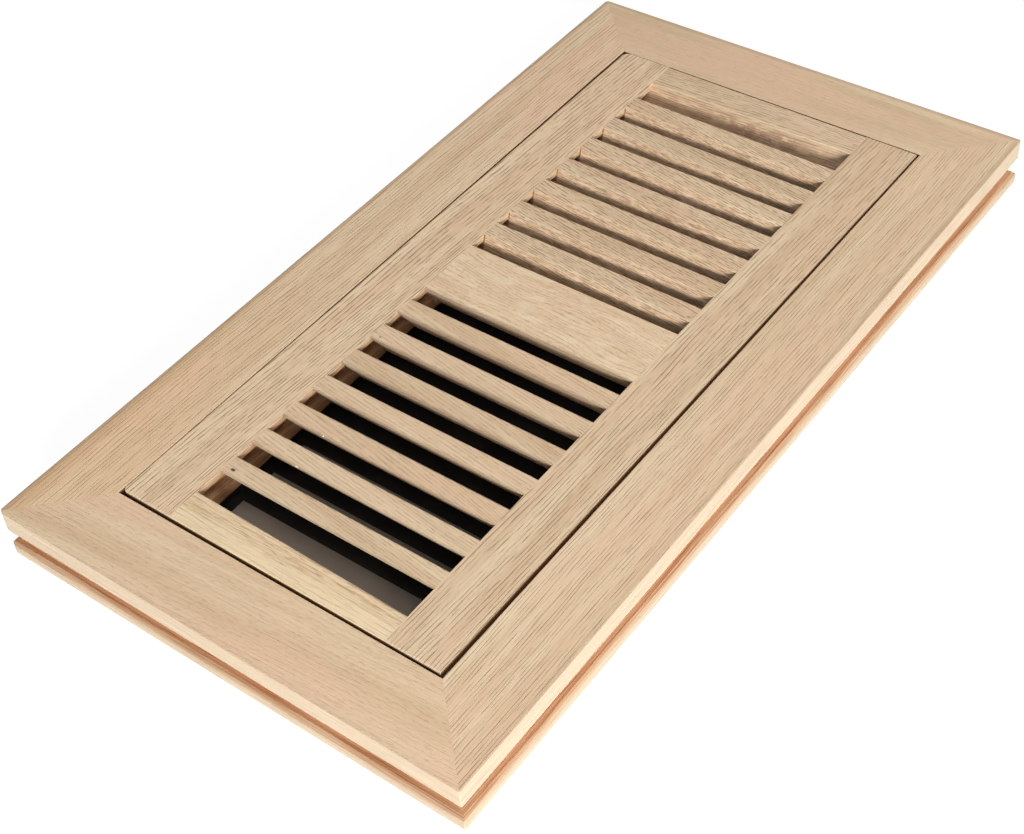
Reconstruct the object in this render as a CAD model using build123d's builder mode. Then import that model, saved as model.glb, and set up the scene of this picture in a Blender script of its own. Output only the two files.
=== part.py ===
from build123d import *
import os
from math import cos, radians, sin, tan

os.makedirs("parts", exist_ok=True)

# Louvre grille: members as they measure across its top face
slats_per_bank = 7
slat_width = 8.0
slot_width = 6.84
end_slot_width = 11.1
center_rail_width = 27.6
end_rail_width = 11.85
near_rail_taper = 1.9
slot_length = 87.2
stile_width = 20.7
grille_thickness = 12.3

# Corners of the grille, eased most at its left end, and of the near slats, eased at their left end
left_near_corner_radius = 2.2
left_far_corner_radius = 3.2
right_corner_radius = 0.5
slat_corner_radius = 0.9

# Slot faces: a hollow front face and a flat back face, by their angles from the upright in degrees
front_angle_top = 14
front_angle_foot = 40
back_angle = 30.5
front_edge_radius = 0.7
back_edge_radius = 0.4

# Groove along each stile for the tongues of rails and slats
stile_groove_lip = 2.8
stile_groove_height = 5.2
stile_groove_depth = 3.5
tongue_end_clearance = 0.2

# Frame of four mitred rails
frame_thickness = 19.05
rail_face_width = 27.0
ledge_width = 11.2
lower_lip_height = 4.75
edge_groove_height = 6.35
edge_groove_depth = 9.5
lower_lip_chamfer = 1.2
top_edge_radius = 0.35
opening_edge_radius = 0.4
frame_left_corner_radius = 2.2
frame_right_corner_radius = 0.4

# Gaps round the middle of each side of the grille where it rests in the frame, and its turn there in degrees
gap_left = 0.5
gap_right = 1.05
gap_near = 1.0
gap_far = 0.3
grille_turn_angle = -0.16

# Damper tray: a shallow pressed pan screwed under the grille
sheet_thickness = 0.8
tray_depth = 4.7
tray_clearance = 1.5
pan_margin = 1.5
pan_corner_radius = 3.0
flange_corner_radius = 5.0
port_width = 4.5
port_inset_across = 1.5
port_inset_along = 1.9

# Damper slide, with the clips that carry it and its finger tab
port_overlap = 0.8
slide_side_margin = 2.2
slide_corner_radius = 2.0
slide_gap = 0.15
slide_thickness = 0.8
clip_thickness = 0.75
clip_hold = 1.6
clip_length = 14.0
clip_spacing = 90.0
clips_per_side = 3
tab_width = 14.0
tab_reach = 5.8
tab_clearance = 1.0

# Screws of the tray, with heads that taper to a smaller face
screw_radius = 1.25
screw_length = 9.0
screw_point_length = 2.0
screw_head_radius = 2.6
screw_face_radius = 2.1
screw_head_height = 1.8
screw_spacing = 100.0
screws_per_side = 3
screw_hole_clearance = 0.25
pilot_hole_clearance = 0.05
pilot_hole_spare = 0.3

# Sizes that follow for the grille and the opening it rests in
pitch = slat_width + slot_width
slot_end = center_rail_width / 2 + slats_per_bank * pitch + end_slot_width
grille_length = 2 * (slot_end + end_rail_width)
grille_width = slot_length + 2 * stile_width
opening_width = grille_width + gap_left + gap_right
opening_length = grille_length + gap_near + gap_far
frame_width = opening_width + 2 * rail_face_width
frame_length = opening_length + 2 * rail_face_width
rail_width = rail_face_width + ledge_width
ledge_height = frame_thickness - grille_thickness

# Middle of the grille, which lies a little off the middle of the frame
grille_x = (gap_left - gap_right) / 2
grille_y = (gap_near - gap_far) / 2
grille_underside = Plane(Location((grille_x, grille_y, ledge_height), (0, 0, grille_turn_angle)))
grille_top = grille_underside.offset(grille_thickness)
across, along = grille_underside.x_dir, grille_underside.y_dir
grille_section = Plane(origin=grille_top.origin, x_dir=along, z_dir=across)

# Run of each kind of slot face from its edge to its foot, and the direction in which a front face starts
front_angle_mean = (radians(front_angle_top) + radians(front_angle_foot)) / 2
front_run = grille_thickness * tan(front_angle_mean)
back_run = grille_thickness * tan(radians(back_angle))
front_start_across = sin(radians(front_angle_top))
front_start_down = -cos(radians(front_angle_top))
face_runs = {"front": front_run, "back": back_run, "upright": 0}
edge_radii = {"front": front_edge_radius, "back": back_edge_radius, "upright": back_edge_radius}

# Levels of the damper, measured from the underside of the grille
slide_top = -tray_depth - slide_gap
slide_bottom = slide_top - slide_thickness
clip_top = slide_bottom - slide_gap
clip_bottom = clip_top - clip_thickness

# Damper sizes in plan
port_length = slot_length - 2 * port_inset_along
pan_width = slot_length + 2 * pan_margin
pan_length = 2 * (slot_end - front_run + pan_margin)
pan_outer_width = pan_width + 2 * sheet_thickness
pan_outer_length = pan_length + 2 * sheet_thickness
flange_width = opening_width - 2 * ledge_width - 2 * tray_clearance
flange_length = opening_length - 2 * ledge_width - 2 * tray_clearance
slide_width = port_length + 2 * slide_side_margin
slide_stroke = port_width + port_overlap
screw_line_spacing = (flange_width + pan_outer_width) / 2


def save(piece, label):
    """Names a finished piece and writes it."""
    piece.part.label = label
    export_step(piece.part, f"parts/{label}.step")


def bank_ports(side):
    """Lower and upper edge, along the grille, of each port under one bank of slots, from the middle outwards."""
    ports = []
    for number in range(slats_per_bank + 1):
        widening = 0 if number < slats_per_bank else end_slot_width - slot_width
        inner = center_rail_width / 2 + number * pitch - front_run + port_inset_across
        outer = inner + port_width + widening
        ports.append((inner, outer) if side > 0 else (-outer, -inner))
    return ports


def frame_rail(label, outer_edge, inward, length):
    """One mitred rail of the frame; outer_edge is the middle of its lower outer edge."""
    inward = Vector(inward)
    section_plane = Plane(origin=outer_edge, x_dir=inward, z_dir=inward.cross(Vector(0, 0, 1)))
    groove_top = lower_lip_height + edge_groove_height
    with BuildPart() as rail:
        with BuildSketch(section_plane) as section:
            with BuildLine():
                Polyline(
                    (0, 0),
                    (0, lower_lip_height - lower_lip_chamfer),
                    (lower_lip_chamfer, lower_lip_height),
                    (edge_groove_depth, lower_lip_height),
                    (edge_groove_depth, groove_top),
                    (0, groove_top),
                    (0, frame_thickness),
                    (rail_face_width, frame_thickness),
                    (rail_face_width, ledge_height),
                    (rail_width, ledge_height),
                    (rail_width, 0),
                    close=True,
                )
            make_face()
            fillet(section.vertices().group_by(Axis.Y)[-1].sort_by(Axis.X)[0], radius=top_edge_radius)
            fillet(section.vertices().group_by(Axis.Y)[-1].sort_by(Axis.X)[-1], radius=opening_edge_radius)
        extrude(amount=length / 2, both=True)
        for end in (-1, 1):
            corner = section_plane.origin + section_plane.z_dir * (end * length / 2)
            mitre = Plane(origin=corner, z_dir=section_plane.z_dir * -end - inward)
            split(bisect_by=mitre, keep=Keep.TOP)
        with BuildSketch() as outline:
            Rectangle(frame_width, frame_length)
            fillet(outline.vertices().group_by(Axis.X)[0], radius=frame_left_corner_radius)
            fillet(outline.vertices().group_by(Axis.X)[-1], radius=frame_right_corner_radius)
        extrude(amount=frame_thickness, mode=Mode.INTERSECT)
    save(rail, label)


def grille_stile(label, side, near_radius, far_radius):
    """One full-length stile, grooved along its inner edge and drilled for the tray's screws."""
    outer_edge = -1 if side > 0 else 0
    with BuildPart() as stile:
        with BuildSketch(grille_underside) as outline:
            with Locations((side * (slot_length + stile_width) / 2, 0)):
                Rectangle(stile_width, grille_length)
            fillet(outline.vertices().group_by(Axis.X)[outer_edge].sort_by(Axis.Y)[0], radius=near_radius)
            fillet(outline.vertices().group_by(Axis.X)[outer_edge].sort_by(Axis.Y)[-1], radius=far_radius)
        extrude(amount=grille_thickness)
        with BuildSketch(grille_section):
            with Locations((0, -stile_groove_lip - stile_groove_height / 2)):
                Rectangle(grille_length, stile_groove_height)
        extrude(amount=side * (slot_length / 2 + stile_groove_depth), mode=Mode.SUBTRACT)
        with BuildSketch(grille_underside):
            with Locations((side * screw_line_spacing / 2, 0)):
                with GridLocations(0, screw_spacing, 1, screws_per_side):
                    Circle(screw_radius + pilot_hole_clearance)
        extrude(amount=screw_length - sheet_thickness + pilot_hole_spare, mode=Mode.SUBTRACT)
    save(stile, label)


def slot_face(edge, face):
    """Draws one long face of a rail or slat from its edge in the top face down to its foot, which it returns.

    A face is its kind and its lean: 1 or -1 carries the foot towards the far or the near end.
    """
    kind, lean = face
    top = (edge, 0)
    foot = (edge + lean * face_runs[kind], -grille_thickness)
    if kind == "front":
        TangentArc(top, foot, tangent=(lean * front_start_across, front_start_down))
    else:
        Line(top, foot)
    return foot


def grille_member(label, low_edge, low_face, high_edge, high_face, taper=0, corner_radius=0):
    """A rail or slat between two edges of the top face, with a tongue at both ends.

    A taper makes it that much wider at the left end of the slot, and a corner radius eases its near left corner.
    """
    tongue_length = stile_groove_depth - tongue_end_clearance
    below_tongue = grille_thickness - stile_groove_lip - stile_groove_height
    half_length = slot_length / 2 + tongue_length
    with BuildPart() as member:
        for end in (-half_length, half_length):
            slanted_edge = high_edge - taper * end / slot_length
            with BuildSketch(grille_section.offset(end)) as section:
                with BuildLine():
                    Line((low_edge, 0), (slanted_edge, 0))
                    Line(slot_face(low_edge, low_face), slot_face(slanted_edge, high_face))
                make_face()
                fillet(section.vertices().group_by(Axis.Y)[-1].sort_by(Axis.X)[0], radius=edge_radii[low_face[0]])
                fillet(section.vertices().group_by(Axis.Y)[-1].sort_by(Axis.X)[-1], radius=edge_radii[high_face[0]])
        loft(ruled=True)
        if corner_radius:
            with BuildSketch(grille_top):
                with Locations((-slot_length / 2, low_edge)):
                    Rectangle(corner_radius, corner_radius, align=Align.MIN)
                with Locations((corner_radius - slot_length / 2, low_edge + corner_radius)):
                    Circle(corner_radius, mode=Mode.SUBTRACT)
            extrude(amount=-stile_groove_lip, mode=Mode.SUBTRACT)
        with Locations(grille_top.offset(-stile_groove_lip / 2)):
            with GridLocations(slot_length + tongue_length, 0, 2, 1):
                Box(tongue_length, grille_length, stile_groove_lip, mode=Mode.SUBTRACT)
        with Locations(grille_underside.offset(below_tongue / 2)):
            with GridLocations(slot_length + tongue_length, 0, 2, 1):
                Box(tongue_length, grille_length, below_tongue, mode=Mode.SUBTRACT)
    save(member, label)


def damper_tray():
    """The pan under the slots: a flange on the grille's underside, a ported floor and clips for the slide."""
    clip_inner = slide_width / 2 - clip_hold
    clip_wall = slide_width / 2 + slide_gap
    with BuildPart() as tray:
        with BuildSketch(grille_underside):
            RectangleRounded(flange_width, flange_length, flange_corner_radius)
        extrude(amount=-sheet_thickness)
        with BuildSketch(grille_underside):
            RectangleRounded(pan_outer_width, pan_outer_length, pan_corner_radius + sheet_thickness)
        extrude(amount=-tray_depth)
        with BuildSketch(grille_underside):
            RectangleRounded(pan_width, pan_length, pan_corner_radius)
        extrude(amount=sheet_thickness - tray_depth, mode=Mode.SUBTRACT)
        with BuildSketch(grille_underside.offset(-tray_depth)):
            for low, high in bank_ports(-1) + bank_ports(1):
                with Locations((0, (low + high) / 2)):
                    Rectangle(port_length, high - low)
        extrude(amount=sheet_thickness, mode=Mode.SUBTRACT)
        with BuildSketch(grille_underside):
            with GridLocations(screw_line_spacing, screw_spacing, 2, screws_per_side):
                Circle(screw_radius + screw_hole_clearance)
        extrude(amount=-sheet_thickness, mode=Mode.SUBTRACT)
        for station in range(clips_per_side):
            clip_middle = grille_underside.origin + along * ((station - (clips_per_side - 1) / 2) * clip_spacing)
            clip_plane = Plane(origin=clip_middle, x_dir=across, z_dir=along * -1)
            with BuildSketch(clip_plane):
                with BuildLine():
                    Polyline(
                        (clip_wall, -tray_depth),
                        (clip_wall, clip_top),
                        (clip_inner, clip_top),
                        (clip_inner, clip_bottom),
                        (clip_wall + clip_thickness, clip_bottom),
                        (clip_wall + clip_thickness, -tray_depth),
                        close=True,
                    )
                make_face()
                mirror(about=Plane.YZ)
            extrude(amount=clip_length / 2, both=True)
    save(tray, "damper_tray")


def damper_slide():
    """The sliding plate below the tray's floor; its ports lie one stroke past the tray's, so at rest it is shut."""
    ports = bank_ports(-1) + bank_ports(1)
    end_high = ports[-1][1]
    slide_length = 2 * (end_high + port_overlap)
    tab_foot = end_high - tab_clearance
    tab_drift = tab_reach * tan(front_angle_mean)
    slide_plane = grille_underside.offset(slide_bottom)
    tab_plane = Plane(origin=grille_underside.origin, x_dir=along, z_dir=across)
    with BuildPart() as slide:
        with BuildSketch(slide_plane):
            RectangleRounded(slide_width, slide_length, slide_corner_radius)
            for low, high in ports:
                if high < end_high:
                    with Locations((0, high + port_overlap + slide_stroke / 2)):
                        Rectangle(port_length, slide_stroke, mode=Mode.SUBTRACT)
        extrude(amount=slide_thickness)
        with BuildSketch(tab_plane):
            with BuildLine():
                Polyline(
                    (tab_foot, slide_bottom),
                    (tab_foot, 0),
                    (tab_foot + tab_drift, tab_reach),
                    (tab_foot + tab_drift - slide_thickness, tab_reach),
                    (tab_foot - slide_thickness, 0),
                    (tab_foot - slide_thickness, slide_bottom),
                    close=True,
                )
            make_face()
        extrude(amount=tab_width / 2, both=True)
    save(slide, "damper_slide")


def tray_screws():
    """The screws that go up through the tray's flange into the stiles."""
    with BuildPart() as screw:
        with BuildSketch(Plane.XZ):
            with BuildLine():
                Polyline(
                    (0, -screw_head_height),
                    (screw_face_radius, -screw_head_height),
                    (screw_head_radius, 0),
                    (screw_radius, 0),
                    (screw_radius, screw_length - screw_point_length),
                    (0, screw_length),
                    close=True,
                )
            make_face()
        revolve(axis=Axis.Z)
    with BuildPart(grille_underside.offset(-sheet_thickness)) as screws:
        with GridLocations(screw_line_spacing, screw_spacing, 2, screws_per_side):
            add(screw.part)
    save(screws, "tray_screws")


# Frame
frame_rail("frame_rail_near", (0, -frame_length / 2, 0), (0, 1, 0), frame_width)
frame_rail("frame_rail_far", (0, frame_length / 2, 0), (0, -1, 0), frame_width)
frame_rail("frame_rail_left", (-frame_width / 2, 0, 0), (1, 0, 0), frame_length)
frame_rail("frame_rail_right", (frame_width / 2, 0, 0), (-1, 0, 0), frame_length)

# Grille: stiles, rails, and the two banks of slats, whose slots lean in towards the center rail
grille_stile("grille_stile_left", -1, left_near_corner_radius, left_far_corner_radius)
grille_stile("grille_stile_right", 1, right_corner_radius, right_corner_radius)
grille_member("grille_rail_near", -grille_length / 2, ("upright", 0), -slot_end, ("front", 1), taper=near_rail_taper)
grille_member("grille_rail_center", -center_rail_width / 2, ("back", 1), center_rail_width / 2, ("back", -1))
grille_member("grille_rail_far", slot_end, ("front", -1), grille_length / 2, ("upright", 0))
for number in range(slats_per_bank):
    inner = center_rail_width / 2 + slot_width + number * pitch
    outer = inner + slat_width
    near_edges = (-outer, ("back", 1), -inner, ("front", 1))
    grille_member(f"near_slat_{number + 1}", *near_edges, corner_radius=slat_corner_radius)
    grille_member(f"far_slat_{number + 1}", inner, ("front", -1), outer, ("back", -1))

# Damper
damper_tray()
damper_slide()
tray_screws()
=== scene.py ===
import random
from math import cos, pi, radians, sin

import bmesh
import bpy
from mathutils import Matrix, Vector


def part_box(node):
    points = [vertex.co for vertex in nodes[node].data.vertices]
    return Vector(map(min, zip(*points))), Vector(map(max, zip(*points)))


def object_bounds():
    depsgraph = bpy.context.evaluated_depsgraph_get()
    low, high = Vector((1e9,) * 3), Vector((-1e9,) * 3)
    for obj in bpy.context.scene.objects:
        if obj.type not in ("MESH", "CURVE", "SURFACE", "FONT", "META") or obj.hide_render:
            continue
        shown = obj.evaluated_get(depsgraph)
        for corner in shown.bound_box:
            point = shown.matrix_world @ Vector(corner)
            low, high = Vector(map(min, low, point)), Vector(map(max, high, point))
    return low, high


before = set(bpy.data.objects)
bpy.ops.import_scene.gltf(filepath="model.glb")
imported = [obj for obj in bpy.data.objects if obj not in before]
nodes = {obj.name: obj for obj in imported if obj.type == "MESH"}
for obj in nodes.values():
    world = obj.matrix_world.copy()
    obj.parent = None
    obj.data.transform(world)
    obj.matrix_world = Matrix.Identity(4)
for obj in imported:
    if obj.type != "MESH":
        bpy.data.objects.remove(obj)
cad_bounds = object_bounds()

# Places on the register, in millimetres; depths run down from the top face
millimetres = 1000
slats_per_bank = 7
frame_box = [corner * millimetres for corner in cad_bounds]
stile_boxes = [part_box("grille_stile_left"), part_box("grille_stile_right")]
grille_low = Vector(map(min, *(box[0] for box in stile_boxes))) * millimetres
grille_high = Vector(map(max, *(box[1] for box in stile_boxes))) * millimetres
grille_turn = radians(-0.16)
top_height = frame_box[1].z
frame_face_width = 27.0
slot_reach = 43.6
groove_top = 7.95
groove_foot = 14.3
opening_depth = 12.3

# The camera of the photograph, placed in metres
image_width = 1024
lens_in_pixels = 1816.5
sensor_width = 36
nearest_view = 0.01
camera_place = Vector((0.2892, -0.3593, 0.43195))
camera_forward = Vector((-0.4619, 0.5345, -0.7078))
camera_up = Vector((-0.3835, 0.5992, 0.7027))

# Lights, in metres and degrees: azimuth runs from the near side round to the right
key_azimuth = 45
key_elevation = 18.5
key_distance = 1.6
key_width = 1.0
key_height = 0.34
key_strength = 1.32
fill_azimuth = 125
fill_elevation = 58
fill_distance = 1.7
fill_size = 0.9
fill_strength = 0.50
front_azimuth = 35
front_elevation = 60
front_strength = 0.17
back_azimuth = 220
back_elevation = 40
back_strength = 0.10
room_strength = 0.07
white_light = (1, 1, 1, 1)

# Floor, in metres
floor_width = 6
floor_drop = 0.0004
floor_grey = (0.28, 0.28, 0.28, 1)
floor_glow = 0.80
floor_roughness = 0.9

# Oak colours, as light
pale_oak = (0.70, 0.54, 0.36)
deep_oak = (0.60, 0.425, 0.265)
pink_oak = (0.69, 0.47, 0.315)
warm_oak = (0.68, 0.445, 0.255)
yellow_oak = (0.78, 0.63, 0.41)
milled_oak = (0.60, 0.41, 0.25)
fibre_cream = (0.80, 0.66, 0.48)
edge_painted_light_cream = (0.71, 0.59, 0.435)
chip_cream = (0.95, 0.88, 0.76)
pink_cream = (0.84, 0.62, 0.46)
ray_cream = (0.78, 0.645, 0.47)
face_painted_light_cream = (0.72, 0.60, 0.47)
streak_orange = (0.52, 0.33, 0.17)
groove_orange = (0.38, 0.195, 0.095)
groove_painted_light_orange = (0.80, 0.43, 0.22)
groove_streak = (0.24, 0.085, 0.03)
scorch_red = (0.50, 0.25, 0.17)
scorch_brown = (0.10, 0.055, 0.035)
slot_shade_brown = (0.36, 0.17, 0.07)
rim_shade_brown = (0.36, 0.24, 0.15)
streak_brown = (0.30, 0.16, 0.085)
pore_brown = (0.21, 0.135, 0.075)
knot_brown = (0.05, 0.03, 0.018)
joint_and_gap_shade_brown = (0.16, 0.065, 0.02)
opening_shade_brown = (0.07, 0.03, 0.012)

# Metal colours, as light
tray_black = (0.012, 0.012, 0.012)
tray_dust = (0.022, 0.021, 0.020)
slide_grey = (0.44, 0.395, 0.36)
pale_slide_grey = (0.50, 0.45, 0.41)
screw_grey = (0.45, 0.43, 0.38)
pale_screw_grey = (0.66, 0.63, 0.55)

# Oak grain: pattern sizes along and across the trunk, in millimetres
seed_shift = (173.0, 7.3, 11.9)
trunk_dip = radians(0.4)
wave_size = (34, 12, 12)
wave_reach = 2.4
wander_size = (120, 14, 14)
wander_reach = 4.0
streak_size = (140, 6.0, 6.0)
blotch_size = (80, 14, 14)
fibre_size = (30.0, 0.45, 0.45)
fleck_size = (3.5, 0.35, 0.35)
fine_pore_width = 0.30
fine_pore_length_share = 0.5

# Oak bands: here and below, a pair is the stretch over which a mark comes in or fades out
early_rise = (0.0, 0.15)
early_fall = (0.15, 0.7)
pore_row_rise = (0.0, 0.08)
pore_row_fall = (0.2, 0.4)
pore_band = (0.42, 0.58)
pale_dash_band = (0.28, 0.42)
fine_pore_band = (0.58, 0.74)
streak_band = (0.3, 0.7)
blotch_band = (0.4, 0.65)

# Oak shades
milled_depth = (0.3, 1.6)
milled_share = 0.6
# Deep in the slots the wood is browned as painted shade
slot_shade_depth = (2.5, 7.0)
grain_shade = 0.86
fibre_shade = 0.18
fleck_shade = 0.12
early_shade = 0.08
pale_dash_share = 0.18
fine_pore_share = 0.4

# Oak surface: here and below, a bump is in metres
oak_specular = 0.25
oak_roughness = 0.60
fibre_roughness = 0.16
pore_roughness = 0.1
fibre_relief = 0.3
pore_relief = 0.8
fine_pore_relief = 0.3
oak_bump = 0.00010

# Outer edge of the frame, whose walls are painted pale as painted light and whose arris and rim carry
# painted shade
edge_line_size = (28, 0.5, 0.5)
edge_skin = (0.3, 0.9)
outer_wall = (0.3, 1.0)
outer_arris = (0.1, 0.5)
rim_shade_band = (0.9, 2.6)
edge_painted_light_share = 0.6
arris_shade = 0.24
outer_shade = 0.04
edge_line_band = (0.3, 0.7)
edge_line_shade = 0.20

# Groove round the frame: further in, its colour is painted lighter as painted light
groove_inside = (0.8, 3.5)
groove_streak_band = (0.5, 0.68)
groove_streak_share = 0.7
groove_mouth = (groove_top - 0.1, groove_top + 0.1)
groove_lip = (groove_foot + 0.1, groove_foot + 1.4)
groove_lip_fade = 0.62
groove_end = (groove_foot + 1.0, groove_foot + 3.8)
groove_line_band = (0.25, 0.6)
groove_share = 0.4
groove_line_share = 0.6

# Opening of the frame, whose walls carry painted shade
opening_wall = (frame_face_width - 0.5, frame_face_width - 0.3)
opening_skin = (0.0, 0.2)
opening_foot = (opening_depth + 0.2, opening_depth + 0.7)
gap_shade_share = 0.95

# Near end of the left rail
warm_reach = (-150, 20)
warm_share = 0.35
warm_edge = (2, 8)
warm_edge_reach = (-80, -10)
warm_edge_share = 0.55

# Gap round the grille, painted dark as painted shade
left_stile_side = (-50, -40)
left_line_end = (137, 139)
gap_edge_start = 0.05
gap_edge_width = 0.2
left_line_width = 0.3
gap_edge_share = 0.3
left_line_share = 0.45
gap_skin = (0.05, 0.3)

# Inner walls of the stiles, painted darker in the near bank as painted shade
near_bank_end = (-10, -8)
lip_skin = (0.1, 0.5)
lip_shade = 0.25
lip_wall = (0.9, 2.2)
lip_share = 0.52

# Sawn near ends of the stiles
torn_size = (0.8, 1.6, 0.8)
torn_reach = 2.4
torn_end = (0.4, 0.9)
torn_share = 0.6

# Near faces of the near slats and the center rail: painted light on the faces, painted shade on their top
# edges
shaded_edge_band = (0.1, 0.75)
shaded_edge_depth = (1.0, 2.2)
edge_painted_shade = 0.34
near_face_depth = (1.5, 4.0)
near_face_light_share = 0.8

# Slats: the range that each one's cut is drawn from, and the dark lines at its ends
slat_draws = 11
slat_slopes = (7, 12)
slat_seeds = (10, 60)
slat_tones = (0.96, 1.0)
slat_pinks = (0.2, 0.6)
slat_end = (slot_reach - 0.7, slot_reach - 0.4)
slat_end_skin = (0.1, 0.5)
slat_end_share = 0.8

# Knots: bands are in radii of the knot
knot_grain_size = (0.7, 0.7, 0.7)
knot_length = 1.7
knot_unevenness = 0.7
knot_ring = (0.9, 2.6)
knot_ring_share = 0.35
knot_heart = (0.5, 1.0)
knot_heart_share = 0.92

# Chips: the band is in sizes of the chip
chip_grain_size = (0.5, 0.5, 0.5)
chip_width = 0.55
chip_height = 0.8
chip_edge = (0.7, 1.1)

# Sapwood of the near rail
sapwood_edge = (-136.5, -131.0)
sapwood_share = 0.75
sapwood_fade = 0.45
sap_streak_size = (22, 0.8, 0.8)
sap_streak_band = (0.46, 0.66)
sap_streak_share = 0.25
far_streak_share = 0.5
sap_fleck_size = (5, 0.35, 0.35)
sap_fleck_band = (0.56, 0.70)
sap_fleck_share = 0.18
far_fleck_share = 0.3

# Rays in the center rail
ray_turn = radians(-12)
ray_size = (14, 4.5, 9)
ray_band = (0.52, 0.66)
ray_share = 0.45

# Near faces of the far slats: painted light on the faces, painted shade on their feet
far_face_slope = 0.008
far_face_top = (0.9, 2.6)
far_face_foot = (2.9, 3.7)
far_face_painted_light = 0.32
dark_foot = (3.0, 4.0)
dark_foot_side = (0, 44)
foot_painted_shade = 0.3
far_streak_turn = radians(8)
brown_streak_size = (14, 0.8, 0.8)
brown_streak_band = (0.5, 0.66)
brown_streak_depth = (0.4, 1.4)
brown_streak_share = 0.55
pink_streak_size = (9, 1.2, 1.2)
pink_streak_band = (0.52, 0.66)
pink_streak_depth = (0.4, 1.2)
pink_streak_share = 0.40

# Mottling on the near face of the far rail
mottle_size = (5.0, 2.0, 2.0)
mottle_place = (6, 129, top_height - 3.5)
mottle_reach = (34, 30, 6.0)
mottle_unevenness = 1.6
mottle_edge = (0.3, 1.2)
brown_mottle_band = (0.4, 0.6)
brown_mottle_depth = (0.8, 2.4)
brown_mottle_share = 0.5
red_mottle_band = (0.45, 0.65)
red_mottle_depth = (0.8, 2.0)
red_mottle_share = 0.45
# The far rail's face is painted lighter deeper down, as painted light
mottle_face_depth = (1.5, 4.0)
far_rail_painted_light = 0.3

# Painted tray
tray_specular = 0.3
tray_peel_size = (0.9, 0.9, 0.9)
tray_bump = 0.00004
tray_dust_size = (14, 14, 14)
tray_dust_band = (0.4, 0.75)
tray_roughness = 0.5
tray_dust_roughness = 0.2

# Rolled slide
slide_specular = 0.35
slide_cloud_size = (18, 26, 18)
slide_cloud_band = (0.3, 0.7)
rolled_size = (0.25, 30, 0.25)
rolled_bump = 0.00002
rolled_base = 0.94
rolled_shade = 0.12
# The slide is painted darker to the right and to the far side, as painted shade
slide_light = 1.12
slide_right_side = (-45, 45)
slide_right_shade = 0.34
slide_far_side = (-122, -112)
slide_far_shade = 0.45
slide_roughness = 0.42
slide_cloud_roughness = 0.2

# Steel of the screws
screw_cloud_size = (1.5, 1.5, 1.5)
screw_turned_size = (6, 6, 0.12)
screw_bump = 0.00003
screw_roughness = 0.28
screw_cloud_roughness = 0.25


class Wire:
    """One value or colour on its way through a finish; sums on it add their maths to the finish."""

    def __init__(self, finish, socket):
        self.finish = finish
        self.socket = socket

    def math(self, operation, first, second=0.0):
        return self.finish.node("ShaderNodeMath", {"operation": operation}, {0: first, 1: second})

    def __add__(self, other):
        return self.math("ADD", self, other)

    def __radd__(self, other):
        return self.math("ADD", other, self)

    def __sub__(self, other):
        return self.math("SUBTRACT", self, other)

    def __rsub__(self, other):
        return self.math("SUBTRACT", other, self)

    def __mul__(self, other):
        return self.math("MULTIPLY", self, other)

    def __rmul__(self, other):
        return self.math("MULTIPLY", other, self)

    def __truediv__(self, other):
        return self.math("DIVIDE", self, other)

    def __abs__(self):
        return self.math("ABSOLUTE", self)

    def repeat(self):
        return self.math("FRACT", self)

    def smaller(self, other):
        return self.math("MINIMUM", self, other)

    def step(self, start, end):
        """Nought at start and one at end, with a soft rise between them."""
        sockets = {"Value": self, "From Min": start, "From Max": end}
        return self.finish.node("ShaderNodeMapRange", {"interpolation_type": "SMOOTHSTEP"}, sockets)


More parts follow.
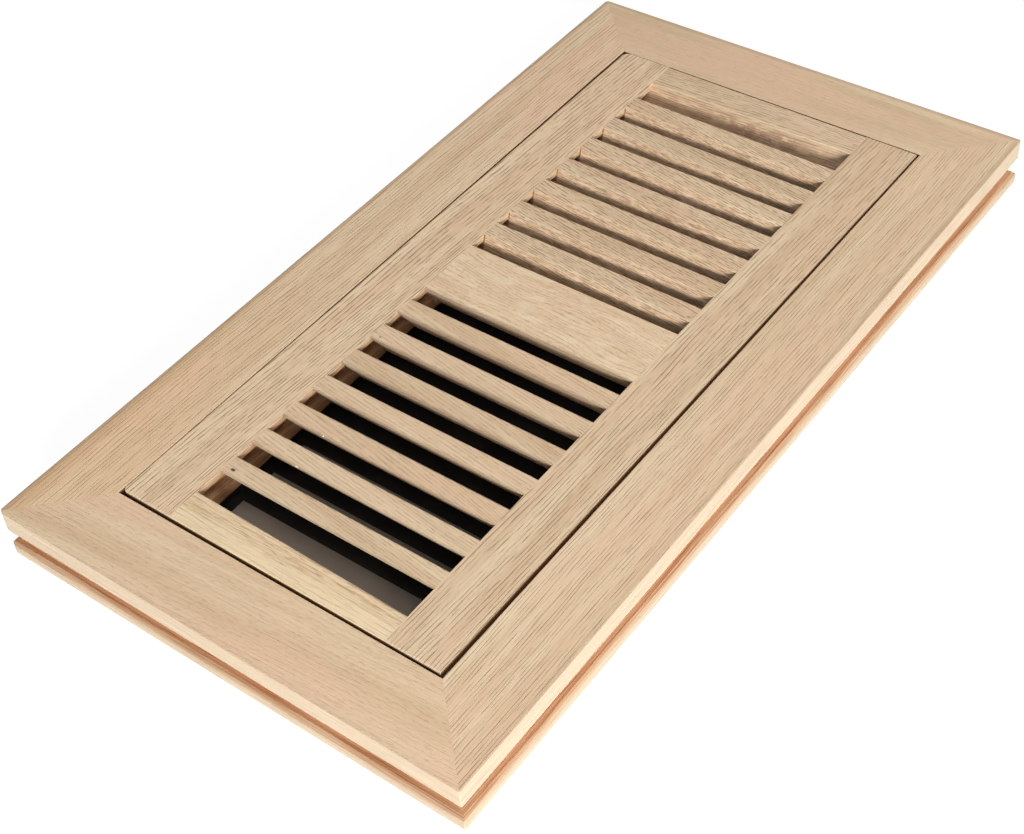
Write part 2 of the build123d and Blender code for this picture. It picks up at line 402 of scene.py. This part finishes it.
class Finish:
    """A material that is built node by node around one shader."""

    # The mix node's sockets for two colours, and its output for what they make
    first_colour = 6
    second_colour = 7
    mixed_colour = 2

    def __init__(self, name, **constants):
        self.material = bpy.data.materials.new(name)
        self.material.use_nodes = True
        self.tree = self.material.node_tree
        self.shader = self.tree.nodes["Principled BSDF"]
        for socket, value in constants.items():
            self.shader.inputs[socket.replace("_", " ")].default_value = value

    def node(self, kind, settings, sockets, output=0):
        """Adds a node, gives it its settings and then its sockets, and returns one of its outputs."""
        node = self.tree.nodes.new(kind)
        for name, value in settings.items():
            setattr(node, name, value)
        for name, value in sockets.items():
            if isinstance(value, Wire):
                self.tree.links.new(value.socket, node.inputs[name])
            else:
                node.inputs[name].default_value = value
        return Wire(self, node.outputs[output])

    def vector(self, operation, first, second):
        return self.node("ShaderNodeVectorMath", {"operation": operation}, {0: first, 1: second})

    def place(self):
        """The point on the piece, in millimetres of the register."""
        where = self.node("ShaderNodeTexCoord", {}, {}, "Object")
        return self.node("ShaderNodeVectorMath", {"operation": "SCALE"}, {0: where, "Scale": millimetres})

    def part(self, vector, axis):
        return self.node("ShaderNodeSeparateXYZ", {}, {0: vector}, axis)

    def depth(self, place):
        """How far a point lies below the top face."""
        return top_height - self.part(place, "Z")

    def turned(self, vector, angles, shift=(0, 0, 0)):
        sockets = {"Vector": vector, "Rotation": angles, "Location": shift}
        return self.node("ShaderNodeMapping", {}, sockets)

    def stretched(self, vector, size):
        """The vector measured in the given sizes, so that a pattern comes out as long as each of them."""
        return self.vector("MULTIPLY", vector, tuple(1 / length for length in size))

    def noise(self, vector, size, detail=2.0, roughness=0.5):
        where = self.stretched(vector, size)
        sockets = {"Vector": where, "Scale": 1.0, "Detail": detail, "Roughness": roughness}
        return self.node("ShaderNodeTexNoise", {}, sockets)

    def distance(self, vector, point, size=(1, 1, 1)):
        away = self.stretched(self.vector("SUBTRACT", vector, point), size)
        return self.node("ShaderNodeVectorMath", {"operation": "LENGTH"}, {0: away}, "Value")

    def mix(self, share, first, second):
        """A colour that goes from the first to the second."""
        sockets = {0: share, self.first_colour: colour(first), self.second_colour: colour(second)}
        return self.node("ShaderNodeMix", {"data_type": "RGBA"}, sockets, self.mixed_colour)

    def shade(self, tint, amount):
        """A colour multiplied by a grey value."""
        grey = self.node("ShaderNodeCombineColor", {}, {0: amount, 1: amount, 2: amount})
        settings = {"data_type": "RGBA", "blend_type": "MULTIPLY"}
        sockets = {0: 1.0, self.first_colour: tint, self.second_colour: grey}
        return self.node("ShaderNodeMix", settings, sockets, self.mixed_colour)

    def bump(self, height, depth):
        return self.node("ShaderNodeBump", {}, {"Height": height, "Distance": depth, "Strength": 1.0})

    def feed(self, **sockets):
        for socket, wire in sockets.items():
            self.tree.links.new(wire.socket, self.shader.inputs[socket.replace("_", " ")])

    def cover(self, piece):
        piece.data.materials.clear()
        piece.data.materials.append(self.material)


def colour(value):
    return value if isinstance(value, Wire) else (*value, 1.0)


def piece_middle(piece):
    corners = [Vector(corner) for corner in piece.bound_box]
    return sum(corners, Vector()) / len(corners) * millimetres


def oak(piece, marks, along_y, slope, seed, tone, pink, pores, pore_length, rings, pore_width=0.6, rows=1.0,
        heart=(40, -40), curl=1.0, slot_painted_shade=0.65):
    """Unfinished white oak, with rings, pores and fibres that run through the whole piece.

    slope turns the grain in the top face, in degrees, and seed takes the piece from its own part of the
    tree. rings is the width of a ring, and rows says how far the pores keep to the rings. heart places the
    middle of the tree, across and below the middle of the piece, and curl waves the trunk.
    slot_painted_shade browns the wood deep in the slots as painted shade, and marks are the piece's own
    edges and flaws and the painted light and shade laid on some of it.
    """
    finish = Finish(f"oak_{piece.name}", Specular_IOR_Level=oak_specular)
    place = finish.place()
    heading = radians((-90 if along_y else 0) + slope)
    lay = finish.turned(finish.vector("SUBTRACT", place, piece_middle(piece)), (0, 0, heading))
    shift = Vector([seed * length for length in seed_shift])
    grain = finish.turned(lay, (0, trunk_dip, 0), shift)
    wave = (finish.noise(grain, wave_size, detail=1.0) - 0.5) * (curl * wave_reach)
    sway = finish.node("ShaderNodeCombineXYZ", {}, {1: wave})
    grain = finish.vector("ADD", grain, sway)

    # Growth rings round the middle of the tree
    wander = finish.noise(grain, wander_size) - 0.5
    centre = shift + Vector((0, *heart))
    across = finish.vector("MULTIPLY", grain, (0, 1, 1))
    radius = finish.distance(across, (0, centre.y, centre.z)) + wander * wander_reach
    ring = (radius / rings).repeat()
    early = ring.step(*early_rise) * (1 - ring.step(*early_fall))

    # Pores as thin dark dashes in rows where each ring began, and finer ones between
    row = ring.step(*pore_row_rise) * (1 - ring.step(*pore_row_fall))
    dash = finish.noise(grain, (pore_length, pore_width, pore_width), detail=1.0)
    pore = row * dash.step(*pore_band) * rows
    fine_pore_size = (pore_length * fine_pore_length_share, fine_pore_width, fine_pore_width)
    fine_pore = finish.noise(grain, fine_pore_size, detail=0.0).step(*fine_pore_band)

    # Colour in broad streaks, with fibres in it
    streak = finish.noise(grain, streak_size, detail=3.0, roughness=0.6)
    blotch = finish.noise(grain, blotch_size, detail=1.0)
    fibre = finish.noise(grain, fibre_size, roughness=0.6)
    fleck = finish.noise(grain, fleck_size, detail=1.0)
    depth = finish.depth(place)
    wood = finish.mix(streak.step(*streak_band), pale_oak, deep_oak)
    wood = finish.mix(blotch.step(*blotch_band) * pink, wood, pink_oak)
    wood = finish.mix(depth.step(*milled_depth) * milled_share, wood, milled_oak)
    # Painted shade: deep in the slots the wood is browned
    wood = finish.mix(depth.step(*slot_shade_depth) * slot_painted_shade, wood, slot_shade_brown)
    light = tone * (grain_shade + fibre_shade * fibre + fleck_shade * fleck)
    wood = finish.shade(wood, light * (1 - early_shade * rows * early))
    wood = finish.mix((1 - dash.step(*pale_dash_band)) * (pores * pale_dash_share), wood, fibre_cream)
    wood = finish.mix(fine_pore * (pores * fine_pore_share), wood, pore_brown)
    wood = finish.mix(pore * pores, wood, pore_brown)
    for mark in marks:
        wood = mark(finish, place, wood)

    relief = fibre_relief * fibre - pore_relief * pore - fine_pore_relief * fine_pore
    finish.feed(Base_Color=wood)
    finish.feed(Roughness=oak_roughness + fibre_roughness * fibre + pore_roughness * pore)
    finish.feed(Normal=finish.bump(relief, oak_bump))
    finish.cover(piece)


def inside_edge(finish, place, lowest, highest, turn=0):
    """How far a point lies inside the upright walls of a block, in millimetres.

    The block is turned in the box from lowest to highest, which it fills.
    """
    reach = (highest - lowest) / 2
    spread = sin(abs(turn))
    away = finish.vector("SUBTRACT", place, (lowest + highest) / 2)
    away = finish.turned(away, (0, 0, -turn))
    x = reach.x - reach.y * spread - abs(finish.part(away, "X"))
    y = reach.y - reach.x * spread - abs(finish.part(away, "Y"))
    return x.smaller(y)


def edge_lines(finish, place):
    """Fine lines of grain that run along the outer walls of the frame."""
    along = finish.part(place, "X") + finish.part(place, "Y")
    inside = inside_edge(finish, place, *frame_box)
    edgewise = finish.node("ShaderNodeCombineXYZ", {}, {0: along, 1: inside, 2: finish.depth(place)})
    return finish.noise(edgewise, edge_line_size, roughness=0.6)


def outer_edge(rim):
    """The frame's outer walls are painted paler than its face, as painted light, and their arris and
    a band along the rim are painted darker, as painted shade.

    rim says how dark the painted shade along the rim is.
    """
    def mark(finish, place, wood):
        inside = inside_edge(finish, place, *frame_box)
        below = finish.depth(place).step(*edge_skin)
        outer = (1 - inside.step(*outer_wall)) * below
        arris = (1 - inside.step(*outer_arris)) * (1 - below)
        rim_shade = (1 - inside.step(*rim_shade_band)) * (1 - below)
        lines = edge_lines(finish, place).step(*edge_line_band)
        # Painted shade along the rim and on the arris, painted light on the outer walls
        wood = finish.mix(rim_shade * rim, wood, rim_shade_brown)
        wood = finish.mix(outer * edge_painted_light_share, wood, edge_painted_light_cream)
        return finish.shade(wood, 1 - arris_shade * arris - outer * (outer_shade + edge_line_shade * lines))
    return mark


def edge_groove(finish, place, wood):
    """The groove round the frame is redder than the walls above and below it, with dark streaks; further
    in, its colour is painted lighter as painted light.
    """
    inside = inside_edge(finish, place, *frame_box)
    depth = finish.depth(place)
    lines = edge_lines(finish, place)
    # Painted light: further into the groove the colour turns lighter
    orange = finish.mix(inside.step(*groove_inside), groove_orange, groove_painted_light_orange)
    orange = finish.mix(lines.step(*groove_streak_band) * groove_streak_share, orange, groove_streak)
    groove_tint = depth.step(*groove_mouth) * (1 - groove_lip_fade * depth.step(*groove_lip))
    groove_tint = groove_tint * (1 - depth.step(*groove_end))
    groove_tint = groove_tint * (groove_share + groove_line_share * lines.step(*groove_line_band))
    return finish.mix(groove_tint, wood, orange)


def opening_walls(finish, place, wood):
    """The walls of the frame's opening, in the gap to the grille, are painted dark as painted shade."""
    depth = finish.depth(place)
    opening = inside_edge(finish, place, *frame_box).step(*opening_wall) * depth.step(*opening_skin)
    opening = opening * (1 - depth.step(*opening_foot))
    return finish.mix(opening * gap_shade_share, wood, opening_shade_brown)


def warm_end(finish, place, wood):
    """The left rail turns more orange towards its near end, most of all along its outer edge."""
    along = finish.part(place, "Y")
    outer = 1 - (finish.part(place, "X") - frame_box[0].x).step(*warm_edge)
    wood = finish.mix((1 - along.step(*warm_reach)) * warm_share, wood, warm_oak)
    return finish.mix(outer * (1 - along.step(*warm_edge_reach)) * warm_edge_share, wood, streak_orange)


def grille_walls(finish, place, wood):
    """The grille's walls in the gap to the frame are painted dark as painted shade, and so is the edge
    along the left one.
    """
    inside = inside_edge(finish, place, grille_low, grille_high, grille_turn)
    depth = finish.depth(place)
    left = 1 - finish.part(place, "X").step(*left_stile_side)
    left = left * (1 - abs(finish.part(place, "Y")).step(*left_line_end))
    edge = gap_edge_share + left_line_share * left
    wall = 1 - inside.step(gap_edge_start, gap_edge_width + left_line_width * left)
    wall = wall * (edge + (1 - edge) * depth.step(*gap_skin))
    return finish.mix(wall * gap_shade_share, wood, joint_and_gap_shade_brown)


def stile_lips(finish, place, wood):
    """The stiles' inner walls are painted darker and browner in the near bank of slots, as painted shade.
    """
    depth = finish.depth(place)
    near_bank = 1 - finish.part(place, "Y").step(*near_bank_end)
    wood = finish.shade(wood, 1 - lip_shade * near_bank * depth.step(*lip_skin))
    return finish.mix(near_bank * depth.step(*lip_wall) * lip_share, wood, slot_shade_brown)


def ragged_end(stile):
    """Pale torn fibres along the sawn near end of a stile."""
    end = min(corner[1] for corner in stile.bound_box) * millimetres

    def mark(finish, place, wood):
        torn = finish.noise(place, torn_size)
        reach = (finish.part(place, "Y") - end) + (torn - 0.5) * torn_reach
        return finish.mix((1 - reach.step(*torn_end)) * torn_share, wood, fibre_cream)
    return mark


def near_face(bar):
    """The slanted near face of a slat or rail is painted pale as painted light, under an edge painted
    darker as painted shade.
    """
    points = [point.co for point in bar.data.vertices]
    near_edge = min(point.y * cos(grille_turn) - point.x * sin(grille_turn) for point in points)

    def mark(finish, place, wood):
        depth = finish.depth(place)
        back = finish.part(finish.turned(place, (0, 0, -grille_turn)), "Y") - near_edge * millimetres
        edge_shade = (1 - back.step(*shaded_edge_band)) * (1 - depth.step(*shaded_edge_depth))
        wood = finish.mix(depth.step(*near_face_depth) * near_face_light_share, wood, face_painted_light_cream)
        return finish.shade(wood, 1 - edge_painted_shade * edge_shade)
    return mark


def slat_ends(slat):
    """A fine dark line down each end of a slat, where it meets the stile."""
    middle = piece_middle(slat)

    def mark(finish, place, wood):
        along = abs(finish.part(place, "X") - middle.x)
        line = along.step(*slat_end) * finish.depth(place).step(*slat_end_skin)
        return finish.mix(line * slat_end_share, wood, joint_and_gap_shade_brown)
    return mark


def knot(x, y, radius):
    """A small dark knot in the top face."""
    def mark(finish, place, wood):
        uneven = finish.noise(place, knot_grain_size) - 0.5
        away = finish.distance(place, (x, y, top_height), (radius * knot_length, radius, radius))
        away = away + uneven * knot_unevenness
        wood = finish.mix((1 - away.step(*knot_ring)) * knot_ring_share, wood, deep_oak)
        return finish.mix((1 - away.step(*knot_heart)) * knot_heart_share, wood, knot_brown)
    return mark


def chip(x, y, length):
    """A pale splinter raised on a sharp edge of the top face."""
    def mark(finish, place, wood):
        uneven = finish.noise(place, chip_grain_size) - 0.5
        away = finish.distance(place, (x, y, top_height), (length, chip_width, chip_height)) + uneven
        return finish.mix(1 - away.step(*chip_edge), wood, chip_cream)
    return mark


def sapwood(finish, place, wood):
    """Pale yellow sapwood along the near side of the near rail, and browner streaks along its far side."""
    far_half = finish.part(place, "Y").step(*sapwood_edge)
    streaks = finish.noise(place, sap_streak_size, detail=3.0, roughness=0.65).step(*sap_streak_band)
    flecks = finish.noise(place, sap_fleck_size, detail=1.0).step(*sap_fleck_band)
    wood = finish.mix(sapwood_share - sapwood_fade * far_half, wood, yellow_oak)
    wood = finish.mix(streaks * (sap_streak_share + far_streak_share * far_half), wood, streak_orange)
    return finish.mix(flecks * (sap_fleck_share + far_fleck_share * far_half), wood, pore_brown)


def pale_patches(finish, place, wood):
    """Pale smooth patches where the rays of the oak lie in the top face."""
    rays = finish.noise(finish.turned(place, (0, 0, ray_turn)), ray_size).step(*ray_band)
    return finish.mix(rays * ray_share, wood, ray_cream)


def streaked_face(finish, place, wood):
    """The slanted near faces of the far slats are painted paler than their feet as painted light, with
    brown and pinkish streaks.

    The feet are painted darkest towards the right, as painted shade.
    """
    depth = finish.depth(place)
    across = finish.part(place, "X")
    slant = depth + far_face_slope * across
    face = depth.step(*far_face_top) * (1 - slant.step(*far_face_foot))
    foot = slant.step(*dark_foot) * across.step(*dark_foot_side)
    sloped = finish.turned(place, (0, 0, far_streak_turn))
    brown = finish.noise(sloped, brown_streak_size, roughness=0.6).step(*brown_streak_band)
    brown = brown * depth.step(*brown_streak_depth)
    pink = finish.noise(sloped, pink_streak_size).step(*pink_streak_band)
    pink = pink * depth.step(*pink_streak_depth)
    wood = finish.mix(brown * brown_streak_share, wood, streak_brown)
    wood = finish.mix(pink * pink_streak_share, wood, pink_cream)
    return finish.shade(wood, 1 + far_face_painted_light * face - foot_painted_shade * foot)


def scorched_face(finish, place, wood):
    """Reddish mottling on the far rail's slanted near face, with dark spots in its middle; deeper down the
    face is painted lighter as painted light.
    """
    depth = finish.depth(place)
    spots = finish.noise(place, mottle_size, detail=3.0, roughness=0.65)
    away = finish.distance(place, mottle_place, mottle_reach) + (spots - 0.5) * mottle_unevenness
    brown = (1 - away.step(*mottle_edge)) * depth.step(*brown_mottle_depth) * spots.step(*brown_mottle_band)
    red = spots.step(*red_mottle_band) * depth.step(*red_mottle_depth)
    wood = finish.mix(brown * brown_mottle_share, wood, scorch_brown)
    wood = finish.mix(red * red_mottle_share, wood, scorch_red)
    return finish.shade(wood, 1 + far_rail_painted_light * depth.step(*mottle_face_depth))


def frame_finishes():
    cuts = {
        "left": dict(along_y=True, slope=1.0, seed=1, tone=1.03, pink=0.85, pores=0.38, pore_length=13,
                     rows=0.9, rings=1.0, heart=(60, -40), curl=0.4),
        "right": dict(along_y=True, slope=0.0, seed=2, tone=1.01, pink=0.45, pores=0.32, pore_length=12,
                      rows=0.8, rings=0.9, heart=(60, -40), curl=0.4),
        "near": dict(along_y=False, slope=-3.0, seed=3, tone=0.99, pink=0.7, pores=0.34, pore_length=5,
                     rows=0.3, rings=1.15, heart=(50, -40)),
        "far": dict(along_y=False, slope=1.0, seed=4, tone=0.96, pink=0.9, pores=0.3, pore_length=6,
                    rows=0.25, rings=1.1, heart=(-50, -40)),
    }
    # How dark the painted shade along each rail's rim is
    rims = {"left": 0.6, "right": 0.25, "near": 0.08, "far": 0.4}
    extra_marks = {"left": [warm_end]}
    for side, cut in cuts.items():
        marks = [*extra_marks.get(side, []), outer_edge(rims[side]), edge_groove, opening_walls]
        oak(nodes[f"frame_rail_{side}"], slot_painted_shade=0, marks=marks, **cut)


def grille_finishes():
    cuts = {
        "stile_left": dict(along_y=True, slope=2.0, seed=5, tone=1.05, pink=0.4, pores=0.64, pore_length=8,
                           rows=0.9, rings=0.9, curl=0.35, slot_painted_shade=0.35),
        "stile_right": dict(along_y=True, slope=0.8, seed=6, tone=0.98, pink=0.4, pores=0.48,
                            pore_length=10, rows=0.9, rings=0.9, curl=0.35, slot_painted_shade=0.35),
        "rail_near": dict(along_y=False, slope=1.0, seed=7, tone=1.08, pink=0.0, pores=0.22, pore_length=7,
                          pore_width=0.9, rings=1.2),
        "rail_center": dict(along_y=False, slope=4.0, seed=8, tone=1.06, pink=0.2, pores=0.52,
                            pore_length=3.5, pore_width=0.5, rows=0.6, rings=0.8, heart=(-30, -28),
                            curl=3.0, slot_painted_shade=0),
        "rail_far": dict(along_y=False, slope=-1.0, seed=9, tone=0.98, pink=0.3, pores=0.6, pore_length=6,
                         pore_width=0.9, rings=0.9, heart=(-30, -30), slot_painted_shade=0.15),
    }
    extra_marks = {
        "stile_left": [stile_lips, ragged_end(nodes["grille_stile_left"])],
        "stile_right": [stile_lips, ragged_end(nodes["grille_stile_right"])],
        "rail_near": [sapwood, chip(x=-13.7, y=-127.9, length=0.7), chip(x=-5.9, y=-128.0, length=0.6)],
        "rail_center": [pale_patches, near_face(nodes["grille_rail_center"])],
        "rail_far": [scorched_face],
    }
    for label, cut in cuts.items():
        oak(nodes[f"grille_{label}"], marks=[*extra_marks[label], grille_walls], **cut)


def slat_finishes():
    draw = random.Random(slat_draws)
    flaws = {
        "near_slat_7": [knot(x=-40.9, y=-114.35, radius=0.7)],
        "near_slat_6": [chip(x=-24.9, y=-102.45, length=1.1), chip(x=-22.6, y=-102.6, length=0.7)],
        "near_slat_5": [chip(x=-26.6, y=-87.6, length=0.5)],
        "near_slat_2": [knot(x=-40.8, y=-41.1, radius=0.3)],
    }
    slat_cut = dict(along_y=False, pore_length=4.2, rings=0.75, heart=(-24, -22), curl=0.6)
    bank_cuts = {"near": dict(pores=0.24, slot_painted_shade=0), "far": dict(pores=0.8)}
    for bank, bank_cut in bank_cuts.items():
        for number in range(1, slats_per_bank + 1):
            label = f"{bank}_slat_{number}"
            slat = nodes[label]
            own_cut = dict(slope=draw.uniform(*slat_slopes), seed=draw.uniform(*slat_seeds),
                           tone=draw.uniform(*slat_tones), pink=draw.uniform(*slat_pinks))
            marks = [slat_ends(slat), *flaws.get(label, [])]
            if bank == "far":
                marks.append(streaked_face)
            else:
                marks.insert(0, near_face(slat))
            oak(slat, marks=marks, **slat_cut, **bank_cut, **own_cut)


def black_sheet():
    finish = Finish("black_sheet", Specular_IOR_Level=tray_specular)
    place = finish.place()
    peel = finish.noise(place, tray_peel_size)
    dust_and_shade = finish.noise(place, tray_dust_size, detail=3.0)
    finish.feed(Base_Color=finish.mix(dust_and_shade.step(*tray_dust_band), tray_black, tray_dust))
    finish.feed(Roughness=tray_roughness + tray_dust_roughness * dust_and_shade)
    finish.feed(Normal=finish.bump(peel, tray_bump))
    finish.cover(nodes["damper_tray"])


def grey_sheet():
    finish = Finish("grey_sheet", Specular_IOR_Level=slide_specular)
    place = finish.place()
    cloud = finish.noise(place, slide_cloud_size, detail=3.0)
    rolled = finish.noise(place, rolled_size)
    paint = finish.mix(cloud.step(*slide_cloud_band), slide_grey, pale_slide_grey)
    # Painted shade: the slide turns darker towards the right and towards the far side
    dust_and_shade = slide_light - slide_right_shade * finish.part(place, "X").step(*slide_right_side)
    dust_and_shade = dust_and_shade * (1 - slide_far_shade * finish.part(place, "Y").step(*slide_far_side))
    finish.feed(Base_Color=finish.shade(paint, dust_and_shade * (rolled_base + rolled_shade * rolled)))
    finish.feed(Roughness=slide_roughness + slide_cloud_roughness * cloud)
    finish.feed(Normal=finish.bump(rolled, rolled_bump))
    finish.cover(nodes["damper_slide"])


def screw_steel():
    finish = Finish("screw_steel", Metallic=1.0)
    place = finish.place()
    cloud = finish.noise(place, screw_cloud_size, detail=3.0)
    turned = finish.noise(place, screw_turned_size, detail=1.0)
    finish.feed(Base_Color=finish.mix(cloud, screw_grey, pale_screw_grey))
    finish.feed(Roughness=screw_roughness + screw_cloud_roughness * cloud)
    finish.feed(Normal=finish.bump(turned, screw_bump))
    finish.cover(nodes["tray_screws"])


def floor():
    sheet = bmesh.new()
    place = Matrix.Translation((0, 0, -floor_drop))
    bmesh.ops.create_grid(sheet, x_segments=1, y_segments=1, size=floor_width / 2, matrix=place)
    mesh = bpy.data.meshes.new("floor")
    sheet.to_mesh(mesh)
    sheet.free()
    piece = bpy.data.objects.new("floor", mesh)
    bpy.context.scene.collection.objects.link(piece)
    finish = Finish("floor_paper", Base_Color=floor_grey, Roughness=floor_roughness,
                    Emission_Color=white_light, Emission_Strength=floor_glow)
    finish.cover(piece)


def softbox(name, azimuth, elevation, strength, distance=fill_distance, width=fill_size, height=fill_size):
    """A wide light that faces the grille and gives it this strength where it meets it squarely."""
    angle, rise = radians(azimuth), radians(elevation)
    towards = Vector((sin(angle) * cos(rise), -cos(angle) * cos(rise), sin(rise)))
    light = bpy.data.lights.new(name, "AREA")
    light.shape = "RECTANGLE"
    light.size = width
    light.size_y = height
    light.energy = strength * (pi * distance) ** 2
    piece = bpy.data.objects.new(name, light)
    piece.location = towards * distance
    piece.rotation_euler = towards.to_track_quat("Z", "Y").to_euler()
    bpy.context.scene.collection.objects.link(piece)


def room():
    world = bpy.data.worlds.new("room")
    bpy.context.scene.world = world
    world.use_nodes = True
    sky = world.node_tree.nodes["Background"]
    sky.inputs["Color"].default_value = white_light
    sky.inputs["Strength"].default_value = room_strength
    softbox("key", key_azimuth, key_elevation, key_strength, key_distance, key_width, key_height)
    softbox("fill", fill_azimuth, fill_elevation, fill_strength)
    softbox("front_fill", front_azimuth, front_elevation, front_strength)
    softbox("back_fill", back_azimuth, back_elevation, back_strength)


def camera():
    lens = bpy.data.cameras.new("camera")
    lens.sensor_width = sensor_width
    lens.lens = lens_in_pixels * sensor_width / image_width
    lens.clip_start = nearest_view
    piece = bpy.data.objects.new("camera", lens)
    forward = camera_forward.normalized()
    right = forward.cross(camera_up).normalized()
    up = right.cross(forward)
    turn = Matrix((right, up, -forward)).transposed().to_4x4()
    piece.matrix_world = Matrix.Translation(camera_place) @ turn
    bpy.context.scene.collection.objects.link(piece)
    bpy.context.scene.camera = piece


camera()
room()
floor()
frame_finishes()
grille_finishes()
slat_finishes()
black_sheet()
grey_sheet()
screw_steel()

bpy.context.scene.view_settings.view_transform = "Standard"
